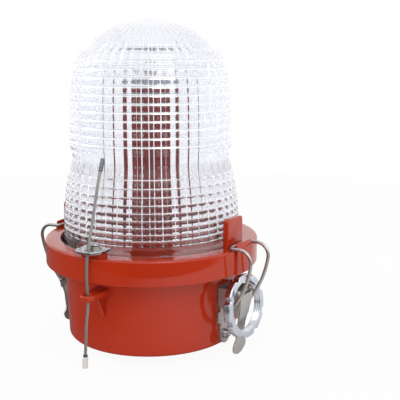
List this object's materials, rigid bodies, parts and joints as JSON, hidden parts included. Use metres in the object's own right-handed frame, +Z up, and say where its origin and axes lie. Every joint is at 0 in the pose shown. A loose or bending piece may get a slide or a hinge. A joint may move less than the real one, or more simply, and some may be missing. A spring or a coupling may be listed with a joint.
{
  "type": "aviation beacon lamp",
  "caption": "Obstruction beacon lamp with a ribbed clear glass lens, a red cast housing for conduit, a clamp collar held by draw latches with wire bails, and a wire-rope tether.",
  "frame": {"origin": "centre of the conduit hub's lower face, on the lamp's axis", "axes": "+Z up along the lamp's axis, +X towards the latch that carries the locknut, the tether close to -Y"},
  "size_m": [0.1802, 0.1615, 0.232],
  "materials": {
    "red_paint": "gloss",
    "clear_glass": "clear",
    "gasket_rubber": "matte",
    "stainless": "brushed",
    "wire_steel": "drawn",
    "pin_steel": "satin",
    "zinc": "bright zinc",
    "rope_steel": "stranded",
    "crimp_black": "matte",
    "sleeve_pale": "matte",
    "post_aluminium": "satin",
    "board_red": "solder mask",
    "emitter_cream": "gloss",
    "board_green": "solder mask",
    "part_dark": "matte",
    "terminal_cream": "matte",
    "ground_brass": "satin",
    "lead_black": "matte",
    "lead_red": "matte"
  },
  "bodies": {
    "housing": {"housing_casting": "red_paint", "clamp_collar": "red_paint", "deck_plate": "red_paint", "glass_lens": "clear_glass", "base_gasket": "gasket_rubber", "lens_gasket": "gasket_rubber", "latch_base_right": "stainless", "latch_base_left": "stainless", "latch_screws": "stainless", "deck_screws": "stainless", "tether_bracket": "stainless", "bracket_washer": "stainless", "bracket_screw": "stainless", "tie_rod": "stainless", "tie_nut": "stainless", "board_standoffs": "stainless", "terminal_screws": "stainless", "pivot_pin_right": "pin_steel", "pivot_pin_left": "pin_steel", "tether_cable": "rope_steel", "tether_top_ferrule": "rope_steel", "tether_crimp": "crimp_black", "tether_end_sleeve": "sleeve_pale", "led_pedestal": "red_paint", "led_post": "post_aluminium", "post_cap": "post_aluminium", "led_boards": "board_red", "led_emitters": "emitter_cream", "driver_board": "board_green", "driver_parts": "part_dark", "terminal_block": "terminal_cream", "ground_screw": "ground_brass", "driver_leads": "lead_black", "led_leads": "lead_red"},
    "right_lever": {"lever_right": "stainless"},
    "right_bail": {"bail_right": "wire_steel"},
    "left_lever": {"lever_left": "stainless"},
    "left_bail": {"bail_left": "wire_steel"},
    "locknut": {"conduit_locknut": "zinc"}
  },
  "joints": [
    {"name": "right_lever_hinge", "type": "hinge", "parent": "housing", "child": "right_lever", "pos_m": [0.0747, 0, 0.0452], "axis": [0, -1, 0], "range_deg": [0, 90]},
    {"name": "right_bail_hinge", "type": "hinge", "parent": "right_lever", "child": "right_bail", "pos_m": [0.07345, 0, 0.03629], "axis": [0, -1, 0], "range_deg": [-76, 0]},
    {"name": "left_lever_hinge", "type": "hinge", "parent": "housing", "child": "left_lever", "pos_m": [-0.07397, -0.0104, 0.0452], "axis": [-0.1392, 0.9903, 0], "range_deg": [0, 90]},
    {"name": "left_bail_hinge", "type": "hinge", "parent": "left_lever", "child": "left_bail", "pos_m": [-0.07273, -0.01022, 0.03629], "axis": [-0.1392, 0.9903, 0], "range_deg": [-76, 0]},
    {"name": "locknut_swing", "type": "hinge", "parent": "housing", "child": "locknut", "pos_m": [0.073, 0, 0.0499], "axis": [-0.0523, -0.9986, 0], "range_deg": [0, 84]}
  ],
  "couplings": [
    {"joint": "right_bail_hinge", "follows": "right_lever_hinge", "ratio": -0.84},
    {"joint": "left_bail_hinge", "follows": "left_lever_hinge", "ratio": -0.84},
    {"joint": "locknut_swing", "follows": "right_lever_hinge", "ratio": 0.93}
  ]
}
